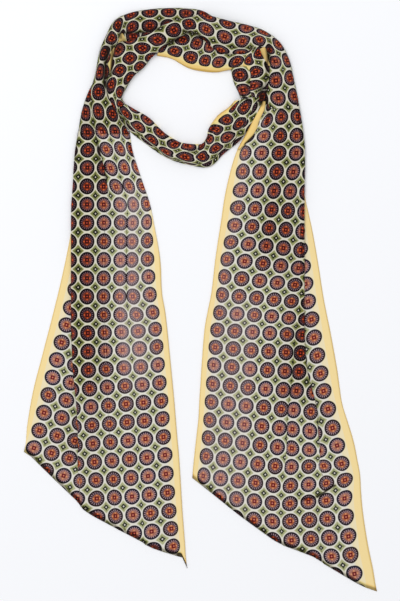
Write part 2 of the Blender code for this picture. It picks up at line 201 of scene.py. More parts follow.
def printed_twill(name, paleness):
    """The scarf's cloth. Its print is drawn in millimetres of the flat cut, from each piece's UV, and
    painted shade and a painted sheen from the shade attribute are laid over it.
    """
    cloth = Nodes(name)
    cut = cloth.add("ShaderNodeUVMap", {"uv_map": "cut"}, {})
    parts = cloth.add("ShaderNodeSeparateXYZ", {}, {"Vector": cut.outputs["UV"]})
    across = Reading(cloth, parts.outputs["X"]) * (1.0 / MM)
    along = Reading(cloth, parts.outputs["Y"]) * (1.0 / MM)
    pitch = PITCH / MM
    column = (across - FIRST_COLUMN / MM) * (1.0 / pitch) + 0.5
    row = along * (1.0 / pitch) + 0.5
    x = (cloth.maths("FRACT", column) - 0.5) * pitch
    y = (cloth.maths("FRACT", row) - 0.5) * pitch
    side_x = abs(x)
    side_y = abs(y)
    radius = cloth.maths("SQRT", x * x + y * y)
    turn = cloth.maths("ARCTAN2", y, x)
    corner = pitch - side_x - side_y
    square = cloth.maths("MAXIMUM", side_x, side_y)

    whole_column = cloth.maths("FLOOR", column)
    whole_row = cloth.maths("FLOOR", row)
    spot = cloth.add("ShaderNodeCombineXYZ", {}, {"X": whole_column, "Y": whole_row})
    lot = cloth.add("ShaderNodeTexWhiteNoise", {"noise_dimensions": "2D"}, {"Vector": spot.outputs[0]})
    chance = Reading(cloth, lot.outputs["Value"])
    ground = cloth.add("ShaderNodeCombineXYZ", {}, {"X": across, "Y": along})
    spread = {"Vector": ground.outputs[0], "Scale": BLOTCH_SCALE}
    blotch = cloth.add("ShaderNodeTexNoise", {"noise_dimensions": "2D"}, spread)
    drift = Reading(cloth, blotch.outputs["Fac"])

    field = cloth.over(cloth.rise(drift, *BLOTCHES), dye(SAGE), dye(MOSS))
    field = cloth.over(cloth.rise(corner, *GROUND_EDGE), field, dye(SAGE))
    leaf = cloth.rise(radius, *LEAF_OUTSIDE) * cloth.rise(corner, *LEAF_TIP)
    colour = cloth.over(leaf, dye(CREAM), field)
    colour = cloth.over(cloth.rise(corner, *DIAMOND), colour, dye(INK))
    colour = cloth.over(cloth.rise(corner, *DIAMOND_EYE), colour, dye(CREAM))
    margin = cloth.rise(abs(across - MARGIN_MIDDLE), *MARGIN)
    colour = cloth.over(margin, colour, dye(PARCHMENT))
    rim = cloth.over(chance, dye(NAVY), dye(TAR))
    colour = cloth.over(cloth.rise(radius, *MEDALLION), colour, rim)
    ticks = cloth.rise(cloth.maths("SINE", turn * TICKS_ROUND), *TICK_EDGE)
    ring = cloth.over(ticks * cloth.rise(radius, *RING_TICKS), rim, dye(MAUVE))
    colour = cloth.over(cloth.rise(radius, *RING), colour, ring)
    heart = cloth.over(cloth.rise(chance + drift, *PLUM_HEARTS), dye(ROSE), dye(PLUM))
    heart = cloth.over(ticks * 0.5, heart, dye(MAUVE))
    colour = cloth.over(cloth.rise(radius, *HEART), colour, heart)
    flame = cloth.over(cloth.rise(chance - drift, *ROSE_FLAMES), dye(ORANGE), dye(ROSE))
    colour = cloth.over(cloth.rise(radius + drift, *FLAME), colour, flame)
    reach_x = side_x - PETALS_OUT
    reach_y = side_y - PETALS_OUT
    spot_x = cloth.maths("SQRT", reach_x * reach_x + y * y)
    spot_y = cloth.maths("SQRT", reach_y * reach_y + x * x)
    nearest = cloth.maths("MINIMUM", spot_x, spot_y)
    colour = cloth.over(cloth.rise(nearest, *PETAL), colour, dye(PEACH))
    colour = cloth.over(cloth.rise(square, *HEART_SQUARE), colour, dye(MAROON))
    colour = cloth.over(cloth.rise(radius, *HEART_DOT), colour, dye(BLUSH))

    inside = cloth.rise(across, NEAR_BORDER - BORDER_BLUR, NEAR_BORDER + BORDER_BLUR)
    inside = inside * cloth.rise(across, FAR_BORDER + BORDER_BLUR, FAR_BORDER - BORDER_BLUR)
    stitching = cloth.rise(abs(across - STRIP_MIDDLE), *STITCHING)
    border = cloth.over(stitching, dye(GOLD), dye(STITCH))
    colour = cloth.over(inside, border, colour)
    colour = cloth.over(paleness, colour, dye(CREAM))
    # Painted shade: the shade attribute deepens and darkens the print in folds and creases, and below 0
    # pales it with a painted sheen.
    painted_shade = cloth.add("ShaderNodeAttribute", {"attribute_name": "shade"}, {})
    shade = Reading(cloth, painted_shade.outputs["Fac"])
    deep = cloth.add("ShaderNodeGamma", {}, {"Color": colour, "Gamma": DEEPER})
    colour = cloth.over(cloth.rise(shade, *DEEPENING), colour, deep.outputs[0])
    harder = cloth.mix({"data_type": "RGBA", "blend_type": "OVERLAY"}, 1.0, colour, colour)
    colour = cloth.over(cloth.rise(shade, *HARDENING) * inside * HARDEST, colour, harder)
    colour = cloth.over(cloth.rise(shade, *DARKENING) * DARKEST, colour, dye(DUSK))
    colour = cloth.over(cloth.rise(shade, *PALING) * PALEST, colour, dye(SHEEN))

    surface = cloth.add(
        "ShaderNodeBsdfPrincipled",
        {},
        {"Base Color": colour, "Roughness": 0.7, "Specular IOR Level": 0.1},
    )
    cloth.add("ShaderNodeOutputMaterial", {}, {"Surface": surface.outputs[0]})
    return cloth.material


face_print = printed_twill("printed_face", 0.0)
reverse_print = printed_twill("printed_reverse", 0.3)

# The left tail
# One end of the strip, hanging from the ring. It is folded lengthwise: a lower panel with the
# near border shows beside a panel that lies folded over it, and the hem is cut on a slant.

SQUARE = 0.88 * MM
CENTRE_X = 200.38
CENTRE_Y = 299.85
STRIP_WIDTH = 155.0 * MM
NEAR_EDGE = 1.0 - FIRST_COLUMN / PITCH
FAR_EDGE = 1.0 + (STRIP_WIDTH - FIRST_COLUMN) / PITCH
SQUARES_A_COLUMN = PITCH / SQUARE
SHOWN_COLUMN = SQUARES_A_COLUMN * 0.96
CLOTH_THICKNESS = 0.25 * MM


def between_rows(table, place):
    """The table's row at a place along the strip, on a smooth curve through its rows."""
    last = len(table) - 2
    i = 0
    while i < last and place > table[i + 1][0]:
        i += 1
    start = table[i]
    end = table[i + 1]
    before = table[i - 1] if i > 0 else start
    after = table[i + 2] if i < last else end
    span = end[0] - start[0]
    share = (place - start[0]) / span
    values = []
    for a, b, c, d in zip(before, start, end, after):
        lead = (c - a) * span / (end[0] - before[0])
        trail = (d - b) * span / (after[0] - start[0])
        curve = (2 * b - 2 * c + lead + trail) * share + 3 * (c - b) - 2 * lead - trail
        values.append(b + (lead + curve * share) * share)
    values[0] = place
    return type(start)(*values)


def on_table(x, y, z):
    """The place of a point on the layout's squares, z millimetres up."""
    return Vector(((x - CENTRE_X) * SQUARE, (CENTRE_Y - y) * SQUARE, z * MM))


def ease(value, start, end):
    """0 at start and before it, 1 at end and past it, eased between them."""
    share = min(max((value - start) / (end - start), 0.0), 1.0)
    return share * share * (3.0 - 2.0 * share)


def cut_place(column, row):
    """The place of a column and row number on the flat cut, in metres."""
    return (FIRST_COLUMN + (column - 1.0) * PITCH, row * PITCH)


def cloth_grid(mesh, columns, rows, place):
    """A grid of the cloth in mesh, each of its points put where place(i, j) says, print and all."""
    made = bmesh.ops.create_grid(mesh, x_segments=columns, y_segments=rows, size=1.0)
    cut = mesh.loops.layers.uv["cut"]
    shade = mesh.verts.layers.float["shade"]
    spots = {}
    for vertex in made["verts"]:
        i = round(0.5 * (vertex.co.x + 1.0) * columns)
        j = round(0.5 * (vertex.co.y + 1.0) * rows)
        spots[vertex] = place(i, j)
        vertex[shade] = spots[vertex][2]
    faces = {face for vertex in made["verts"] for face in vertex.link_faces}
    for face in faces:
        face.smooth = True
        for loop in face.loops:
            loop[cut].uv = spots[loop.vert][1]
    for vertex in made["verts"]:
        vertex.co = spots[vertex][0]


def new_cloth():
    """An empty mesh that can hold the print."""
    mesh = bmesh.new()
    mesh.loops.layers.uv.new("cut")
    mesh.verts.layers.float.new("shade")
    return mesh


def finished(name, mesh, node, thickness=0.0):
    """The piece that a mesh makes, in place of its CAD node, with its wall where it has one."""
    data = bpy.data.meshes.new(name)
    mesh.to_mesh(data)
    mesh.free()
    data.materials.append(face_print)
    data.materials.append(reverse_print)
    piece = bpy.data.objects.new(name, data)
    bpy.context.scene.collection.objects.link(piece)
    if thickness:
        wall = piece.modifiers.new("wall", "SOLIDIFY")
        wall.thickness = thickness
        wall.offset = -1.0
        wall.material_offset = 1
        wall.material_offset_rim = 0
    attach(piece, "root")
    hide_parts(node)
    return piece


# The fine creases and shadows along edges, painted as shade: each is a line on the layout,
# with its width in squares and its depth, which also dents the cloth a little.
Crease = namedtuple("Crease", "start_x start_y end_x end_y width depth")
CREASE_LINES = [
    (108, 48, 106, 64, 2.4, 1.3),
    (106, 64, 105, 86, 2.4, 1.4),
    (112.5, 45, 111.5, 76, 1.4, 1.2),
    (119, 26, 121, 38, 1.6, 0.9),
    (122, 33, 143, 32.5, 1.6, 0.9),
    (118, 50, 124, 42, 4.0, 0.7),
    (144, 31, 159, 30, 2.2, 0.7),
    (160, 24, 171, 21, 1.4, 0.8),
    (183, 31, 200, 36, 1.6, 1.1),
    (200, 36, 211, 43, 1.5, 1.3),
    (166, 46, 178, 38, 2.2, 1.1),
    (178, 38, 192, 40, 2.6, 0.8),
    (211, 43, 231, 46, 1.3, 0.9),
    (231, 47.5, 254, 48.5, 1.4, 1.1),
    (269, 46, 269, 59, 3.0, 1.4),
    (257, 50, 262, 56, 4.0, 0.4),
    (267.5, 60, 266, 80, 1.5, 1.1),
    (266, 80, 265, 100, 1.6, 1.1),
    (266, 100, 268.5, 115, 2.4, 1.5),
    (248.5, 76, 247, 92, 1.1, 0.9),
    (243, 96.5, 249.5, 100.5, 1.5, 2.2),
    (262, 88, 261, 104, 3.4, 1.5),
    (188, 152, 203, 147.5, 1.1, 1.2),
    (203, 147.5, 208, 137, 1.1, 1.0),
    (210, 137, 214, 124, 1.0, 0.7),
    (232, 105, 238, 118, 1.0, 0.9),
    (119, 111, 129, 128, 1.3, 0.9),
    (228, 131, 238, 131, 1.2, 0.6),
    (268.5, 115, 266.5, 124, 1.6, 1.4),
    (255.5, 134, 245, 144, 1.0, 2.2),
    (97, 142, 100.5, 164, 1.4, 0.9),
    (105, 165, 106, 182, 1.2, 1.0),
    (129, 141, 133, 163, 1.3, 1.2),
    (77, 128, 75.5, 160, 1.6, 0.9),
    (317, 497, 335, 485, 1.3, 3.0),
    (179.5, 554, 184.5, 566, 2.2, 2.4),
    (296, 500, 317, 497, 1.4, 1.4),
]
CREASES = [Crease(*line) for line in CREASE_LINES]


def crease_at(x, y):
    """How deep the creases and edge shadows are at a point on the layout, painted as shade and dented a
    little.
    """
    depth = 0.0
    for crease in CREASES:
        run_x = crease.end_x - crease.start_x
        run_y = crease.end_y - crease.start_y
        along = (x - crease.start_x) * run_x + (y - crease.start_y) * run_y
        share = min(max(along / (run_x * run_x + run_y * run_y), 0.0), 1.0)
        away = math.hypot(x - crease.start_x - run_x * share, y - crease.start_y - run_y * share)
        depth = max(depth, crease.depth * math.exp(-((away / crease.width) ** 2)))
    return depth


# One point across a tail: its column in the print, its place, whether it is on the upper panel
# (1) or the lower (0), and its painted shade, below 0 for a painted sheen.
Key = namedtuple("Key", "column x y z top shade", defaults=(0.0, 0.0))

# One medallion row of the tail: its near edge, the lowest column, the long fold, columns 5, 7, 8
# and 9 with a lap and a tuck between them, and the rim with its column, which is a lower one
# where the far border turns under.
LEFT_RIM = 9.78
LeftRow = namedtuple(
    "LeftRow",
    "row edge_x edge_y low_x low_y fold_x c5_x c5_y lap_x c7_x c7_y tuck_x c8_x c8_y c9_x c9_y "
    "rim_x rim_y rim",
    defaults=(LEFT_RIM,),
)
LEFT_ROWS = [
    (-7, 0.0, 580, 7.0, 583, 90, 106, 610,
     118, 139, 611, 147, 155.5, 610, 180, 603, 192, 600),
    (-5, 3.0, 547, 10.0, 550, 88, 102.5, 573,
     118, 136.5, 571, 145, 153.5, 568, 177, 564, 186.2, 561),
    (-4, 5.0, 531, 13.0, 534, 86, 101, 554,
     117, 135.5, 552, 144, 152.5, 550, 174, 546, 185, 544),
    (-2, 11.0, 497, 18.0, 500, 82, 98, 517,
     115, 133, 515, 142, 150.5, 513, 169.5, 511, 182.3, 509),
    (0, 21.0, 462, 28.5, 465.5, 79, 96, 480,
     113, 131, 478, 139.5, 148, 476, 166, 474, 180, 471.5),
    (1, 25.5, 445, 34, 448, 77.5, 94.5, 462,
     112, 129.5, 459, 138, 147, 457.5, 165, 455, 178.7, 453),
    (2, 27.3, 425.5, 39.5, 430.5, 78, 93, 443.5,
     110, 128, 440.5, 136.5, 145.5, 439, 163.5, 437, 177, 434.5),
    (4, 33.3, 390.5, 48.5, 395, 76.5, 91, 407,
     108, 126, 404, 134.5, 143.5, 402.5, 161.5, 401, 174, 398),
    (6, 42, 356.5, 57, 360, 73, 88.5, 370,
     106, 124, 368, 132.5, 140.7, 367, 158, 365, 170.5, 362),
    (8, 51, 322, 66.5, 325, 71.2, 88, 333,
     105, 121.5, 332, 129.7, 138, 331, 156, 329, 167, 327),
    (9, 55.5, 304, 71, 308, 71, 87.5, 315,
     104, 120.4, 315, 128.5, 136.6, 315, 152.8, 312.5, 165, 310.5),
    (10, 59.8, 286.5, 75.5, 290, 71, 87.2, 296.5,
     104, 119.9, 296.5, 126.7, 132.6, 296.5, 150.4, 294.5, 162, 293),
    (12, 67.5, 251, 83, 255, 71, 87.2, 260,
     104, 120.7, 260, 126.5, 131.8, 260, 147.5, 259, 160, 258),
    (14, 73.3, 217, 88, 221, 71, 87, 223,
     105, 121.3, 222.5, 127, 132.5, 223, 147.5, 222, 153.5, 221, 9.55),
    (15, 74.5, 200, 89, 204, 71.3, 87.2, 204.5,
     108, 120.3, 204.8, 127.3, 133.9, 204.5, 146.3, 203.9, 150, 204, 9.2),
    (16, 75.5, 182, 89, 186, 72.7, 87.2, 186.6,
     107.6, 116.3, 186.9, 123, 129.3, 186, 142, 186.3, 144, 186, 9.12),
    (17, 76.5, 164, 89, 168, 73.7, 87.5, 167.7,
     104.3, 110.7, 168.3, 117.6, 124.9, 167.4, 136.8, 167.5, 138, 168.5, 9.08),
    (18, 78, 147, 90, 150, 75, 88.1, 150.3,
     99.7, 106.2, 149.4, 113.5, 121.2, 148.5, 130.4, 149, 132.3, 149.5, 9.12),
    (19.3, 82, 126, 93, 128, 78.7, 88.1, 127.5,
     94.2, 100.5, 127, 107.5, 113.5, 127, 123.7, 127.5, 129.3, 128, 9.45),
]
LEFT_TAIL = [LeftRow(*numbers) for numbers in LEFT_ROWS]

# The row at which the hem cuts across each column, and the row where the tail goes into the ring.
LEFT_HEM = (
    (NEAR_EDGE, 0.8),
    (1.0, 0.5),
    (3.0, -0.57),
    (4.0, -1.15),
    (5.0, -2.1),
    (7.0, -3.25),
    (9.0, -4.55),
    (9.5, -4.75),
    (FAR_EDGE, -5.35),
)
LEFT_TOP = 19.1

# Heights in millimetres: of each panel's face, and of how far a fold and a lap stand up.
LOWER_PANEL = 0.9
MIDDLE_PANEL = 1.9
FOLD_LIFT = 3.2
SINGLE_PANEL = 1.1
LAP_LIFT = 0.7
TUCK_DIP = 0.5
EDGE_HEIGHT = 0.4
BORDER_HEIGHT = 0.7

# Places and slacks across a tail, in columns, and depths on the layout, in squares.
BORDER_COLUMN = 0.55
BORDER_SQUARES = 8.2
PLEAT_SLACK = 0.12
PLEAT_SHARE = 0.35
STACKED = (0.0, 8.0)
LAPPED = (0.0, 3.0)
TUCKED = (0.0, 2.0)
# LAP_SHADE and TUCK_SHADE are painted shade in a lap and a tuck, LEFT_SHEEN a painted sheen.
LAP_SHADE = 0.8
TUCK_SHADE = 0.7
LEFT_SLOPE = 0.29
LEFT_SHEEN = -0.35


def between_pairs(pairs, place):
    """The second number at a place among the first numbers of the pairs."""
    for (start, low), (end, high) in zip(pairs, pairs[1:]):
        if place <= end or end == pairs[-1][0]:
            return low + (high - low) * (place - start) / (end - start)
    return pairs[-1][1]


def pleat(line_x, left_x, left_column, right_x, right_column):
    """The columns at the two sides of a pleat's line and how far under the pleat goes, in squares."""
    left = left_column + (line_x - left_x) / SHOWN_COLUMN
    right = right_column - (right_x - line_x) / SHOWN_COLUMN
    hidden = max(right - left - PLEAT_SLACK, 0.0)
    middle = 0.5 * (left + right)
    return middle - 0.5 * hidden, middle + 0.5 * hidden, PLEAT_SHARE * hidden * SQUARES_A_COLUMN


def left_keys(row):
    """Where the fold's inner side is, how much it stacks up, and the key points across the tail."""
    at = between_rows(LEFT_TAIL, row)
    fold = 5.0 - (at.c5_x - at.fold_x) / SHOWN_COLUMN
    under = 1.0 + (at.fold_x - at.low_x) / SHOWN_COLUMN
    hidden = max(fold - under, 0.0)
    middle = 0.5 * (fold + under)
    fold = middle + 0.5 * hidden
    depth = 0.5 * hidden * SQUARES_A_COLUMN
    stack = ease(depth, *STACKED)
    rise = (MIDDLE_PANEL - LOWER_PANEL) * stack
    fold_y = at.c5_y + (at.c5_x - at.fold_x) * (at.c5_y - at.c7_y) / (at.c7_x - at.c5_x)
    inner_x = at.fold_x + depth
    inner_y = at.low_y + LEFT_SLOPE * (inner_x - at.low_x)
    border_x = at.low_x - BORDER_SQUARES
    border_y = at.low_y - LEFT_SLOPE * BORDER_SQUARES
    lap_left, lap_right, lap_depth = pleat(at.lap_x, at.c5_x, 5.0, at.c7_x, 7.0)
    lap_middle = 0.5 * (lap_left + lap_right)
    lap_y = at.c5_y + (at.c7_y - at.c5_y) * (at.lap_x - at.c5_x) / (at.c7_x - at.c5_x)
    tuck_left, tuck_right, tuck_depth = pleat(at.tuck_x, at.c7_x, 7.0, at.c8_x, 8.0)
    tuck_y = 0.5 * (at.c7_y + at.c8_y)
    lap_lift = LAP_LIFT * ease(lap_depth, *LAPPED)
    lap_dark = LAP_SHADE * ease(lap_depth, *LAPPED)
    dip = TUCK_DIP * ease(tuck_depth, *TUCKED)
    tuck_dark = TUCK_SHADE * ease(tuck_depth, *TUCKED)
    # Painted shade: near is the shade by the fold, lighter near the hem; pale is a painted sheen on the
    # upper panel.
    by_hem = 1.0 - ease(row, 3.0, 7.0)
    near = 1.0 - 0.7 * by_hem
    pale = LEFT_SHEEN * (1.0 - by_hem) * (1.0 - ease(row, 15.0, 17.0))
    top = SINGLE_PANEL
    before_tuck = top + 0.2 * dip + 0.5 * lap_lift
    keys = [
        Key(NEAR_EDGE, at.edge_x, at.edge_y, EDGE_HEIGHT),
        Key(BORDER_COLUMN, border_x, border_y, BORDER_HEIGHT),
        Key(1.0, at.low_x, at.low_y, LOWER_PANEL),
        Key(middle - 0.02, inner_x, inner_y, LOWER_PANEL, 0, 0.6 * stack),
        Key(middle, inner_x - 0.1, inner_y, LOWER_PANEL + rise, 0, 0.6 * stack),
        Key(fold - 0.06 * hidden, at.fold_x + 0.06 * depth, fold_y, LOWER_PANEL + rise, 0, 0.6 * stack),
        Key(fold, at.fold_x, fold_y, LOWER_PANEL + 1.4 * rise, 0, 0.7 * stack),
        Key(fold + 0.04, at.fold_x + 0.5, fold_y, top - 0.3 * rise, 1, near + 0.3 * stack),
        Key(fold + 0.12, at.fold_x + 1.8, fold_y, top, 1, near + 0.1 * stack),
        Key(5.0, at.c5_x, at.c5_y, top, 1, near),
        Key(lap_left - 0.01, at.lap_x - 0.2, lap_y, top, 1, 0.5 * near + lap_dark),
        Key(lap_middle - 0.01, at.lap_x + lap_depth, lap_y, top, 1, lap_dark),
        Key(lap_middle, at.lap_x + lap_depth - 0.2, lap_y, top + 0.5 * lap_lift, 1, lap_dark),
        Key(lap_right, at.lap_x, lap_y, top + lap_lift, 1, 0.5 * near + 0.4 * lap_dark),
        Key(lap_right + 0.08, at.lap_x + 1.2, lap_y, top + 1.7 * lap_lift, 1, 0.5 * near),
        Key(7.0, at.c7_x, at.c7_y, top + 1.2 * lap_lift, 1, pale),
        Key(tuck_left - 0.08, at.tuck_x - 1.0, tuck_y, before_tuck, 1, pale + 0.3 * tuck_dark),
        Key(tuck_left, at.tuck_x + 0.3 * tuck_depth, tuck_y, top - dip, 1, tuck_dark),
        Key(tuck_right, at.tuck_x, tuck_y, top + 0.3 * dip, 1, tuck_dark),
        Key(tuck_right + 0.12, at.tuck_x + 1.6, tuck_y, top + dip, 1, pale),
        Key(8.0, at.c8_x, at.c8_y, top, 1, pale),
        Key(9.0, at.c9_x, at.c9_y, top, 1, 0.5 * pale),
        Key(at.rim - 0.03, at.rim_x - 0.5, at.rim_y, SINGLE_PANEL, 1),
        Key(at.rim, at.rim_x, at.rim_y, 0.5 * SINGLE_PANEL + 0.1, 1),
        Key(FAR_EDGE + 0.01, at.rim_x - (FAR_EDGE - at.rim) * SQUARES_A_COLUMN - 0.2, at.rim_y, 0.35),
    ]
    return inner_x, stack, keys


# How many faces lie between each key point and the next, and how many from the hem to the ring.
LEFT_SPANS = (5, 3, 26, 2, 10, 2, 2, 2, 6, 12, 4, 1, 4, 2, 5, 7, 2, 2, 2, 7, 12, 9, 1, 1)
LEFT_STEPS = 250
ROW_STEP = 0.05
HEM_ROUNDS = 5
HEM_ROLL = 0.12
HEM_LIFT = 2.0
HEM_HEIGHT = 0.35
# HEM_SHADE is painted shade along the rolled hem.
HEM_SHADE = 1.95
HEM_ZONE = 0.34
HEM_STEPS = 9
FOLD_SPREAD = (-2.0, 12.0)
TAIL_DENT = 0.25
LOWEST = 0.3


def lay_tail(mesh, keys_at, hem, top, spans, rows, side):
    """A folded tail from its slanted hem up to the ring. The fold opens towards side, 1 or -1."""
    bottom = min(row for column, row in hem) - 0.2
    steps = int((top - bottom) / ROW_STEP) + 2
    stations = [keys_at(bottom + step * ROW_STEP) for step in range(steps)]
    spots = []
    for index, count in enumerate(spans):
        spots.extend((index, part / count) for part in range(count))
    spots.append((len(spans) - 1, 1.0))

    def key_at(i, row):
        index, share = spots[i]
        place = min(max((row - bottom) / ROW_STEP, 0.0), steps - 1.001)
        step = int(place)
        rest = place - step
        lower_x, lower_stack, lower = stations[step]
        upper_x, upper_stack, upper = stations[step + 1]
        values = []
        for a, b, c, d in zip(lower[index], lower[index + 1], upper[index], upper[index + 1]):
            start = a + (b - a) * share
            end = c + (d - c) * share
            values.append(start + (end - start) * rest)
        key = Key(*values)
        inner_x = lower_x + (upper_x - lower_x) * rest
        stack = lower_stack + (upper_stack - lower_stack) * rest
        lift = (FOLD_LIFT - SINGLE_PANEL) * stack * (1.0 - ease(side * (key.x - inner_x), *FOLD_SPREAD))
        return key._replace(z=key.z + key.top * lift)

    def place(i, j):
        step = j if side > 0 else rows - j
        row = 0.0
        for _ in range(HEM_ROUNDS):
            key = key_at(i, row)
            end = between_pairs(hem, key.column)
            if step < HEM_STEPS:
                row = end + HEM_ZONE * step / HEM_STEPS
            else:
                row = end + HEM_ZONE + (top - end - HEM_ZONE) * (step - HEM_STEPS) / (rows - HEM_STEPS)
        key = key_at(i, row)
        from_hem = row - end
        roll = 1.0 - ease(from_hem, 0.0, HEM_ROLL)
        crease = crease_at(key.x, key.y)
        z = key.z + HEM_LIFT * roll * (1.0 - roll) - (key.z - HEM_HEIGHT) * roll
        z = max(z - TAIL_DENT * crease * key.top, LOWEST)
        # Painted shade along the rolled hem and the creases, on top of the key's own painted shade.
        dark = 1.0 - ease(from_hem, HEM_ROLL, HEM_ZONE)
        shade = key.shade + max(HEM_SHADE - key.shade, 0.0) * dark + crease
        return on_table(key.x, key.y, z), cut_place(key.column, side * row), shade

    cloth_grid(mesh, sum(spans), rows, place)


mesh = new_cloth()
lay_tail(mesh, left_keys, LEFT_HEM, LEFT_TOP, LEFT_SPANS, LEFT_STEPS, side=1)
left_tail = finished("left_tail_cloth", mesh, "left_tail", CLOTH_THICKNESS)

# The right tail
# The other end of the strip, longer on its outer side. Its outer panel turns out from under a
# long pressed fold, and the far border runs down its inner side.

# One medallion row of a flattened fold: four points across it with the print's column at each,
# from its outer side (o) past two columns (a and b) to its inner side (i), then how far up it
# starts and how high it stands, in millimetres.
FoldRow = namedtuple("FoldRow", "row ox oy oc ax ay ac bx by bc ix iy ic base rise")
TOP_POINTS = 34
UNDER_POINTS = 3
SHAPE = 2.0 / 2.7
SIDE_PRINT = 0.8
FOLD_STEP = 0.1
FEWEST_STEPS = 4
MOST_GATHERED = 0.26
# SIDE_SHADE is painted shade where a fold turns down at its sides.
SIDE_SHADE = 0.5
SIDE_EDGE = (0.2, 0.9)
FOLD_DENT = 0.15


def gathered(value, squares):
    """A place in the print, drawn towards its medallion where the cloth is gathered up."""
    share = min(max(1.0 - squares / SQUARES_A_COLUMN, 0.0), MOST_GATHERED)
    return value - share * math.sin(2.0 * math.pi * value) / (2.0 * math.pi)


def lay_fold(mesh, fold_rows, shade):
    """One flattened fold of the cloth, its long edges meeting underneath, printed by its rows, with shade
    as its painted shade.
    """
    table = [FoldRow(*numbers) for numbers in fold_rows]
    first = table[0].row
    last = table[-1].row
    rows = max(int(abs(last - first) / FOLD_STEP), FEWEST_STEPS)
    around = TOP_POINTS + 2 * UNDER_POINTS

    def place(i, j):
        at = between_rows(table, first + (last - first) * j / rows)
        marks = [at[1:4], at[4:7], at[7:10], at[10:13]]
        lengths = [0.0]
        for start, end in zip(marks, marks[1:]):
            lengths.append(lengths[-1] + math.hypot(end[0] - start[0], end[1] - start[1]))
        width = lengths[-1]
        above = between_rows(table, max(at.row - 0.5, min(first, last)))
        below = between_rows(table, min(at.row + 0.5, max(first, last)))
        row_span = math.hypot(below.ax - above.ax, below.ay - above.ay) / (below.row - above.row)
        column_span = (lengths[2] - lengths[1]) / (at.bc - at.ac)

        def on_marks(distance):
            for index in range(3):
                if distance <= lengths[index + 1] or index == 2:
                    share = (distance - lengths[index]) / max(lengths[index + 1] - lengths[index], 0.001)
                    start = marks[index]
                    end = marks[index + 1]
                    return [a + (b - a) * share for a, b in zip(start, end)]

        step = i - UNDER_POINTS
        if 0 <= step <= TOP_POINTS:
            turn = math.pi * (1.0 - step / TOP_POINTS)
            lean = math.cos(turn)
            reach = math.copysign(abs(lean) ** SHAPE, lean)
            height = math.sin(turn) ** SHAPE if 0 < step < TOP_POINTS else 0.0
            x, y, column = on_marks(0.5 * width * (1.0 + reach))
            column += reach * SIDE_PRINT * at.rise * MM * (1.0 - height) / PITCH
        else:
            back = -step if step < 0 else step - TOP_POINTS
            inward = 0.5 * width * back / UNDER_POINTS
            side = -1.0 if step < 0 else 1.0
            x, y, column = on_marks(inward if step < 0 else width - inward)
            edge = at.oc if step < 0 else at.ic
            column = edge + side * (SIDE_PRINT * at.rise * MM + inward * SQUARE) / PITCH
            height = 0.0
        # Painted shade: more where the fold turns down at its sides and along creases and edge shadows.
        crease = crease_at(x, y)
        dark = shade + SIDE_SHADE * (1.0 - ease(height, *SIDE_EDGE)) + crease
        z = at.base + height * at.rise * (1.0 - FOLD_DENT * crease)
        place_in_cut = cut_place(gathered(column, column_span), gathered(at.row, row_span))
        return on_table(x, y, z), place_in_cut, dark

    cloth_grid(mesh, around, rows, place)


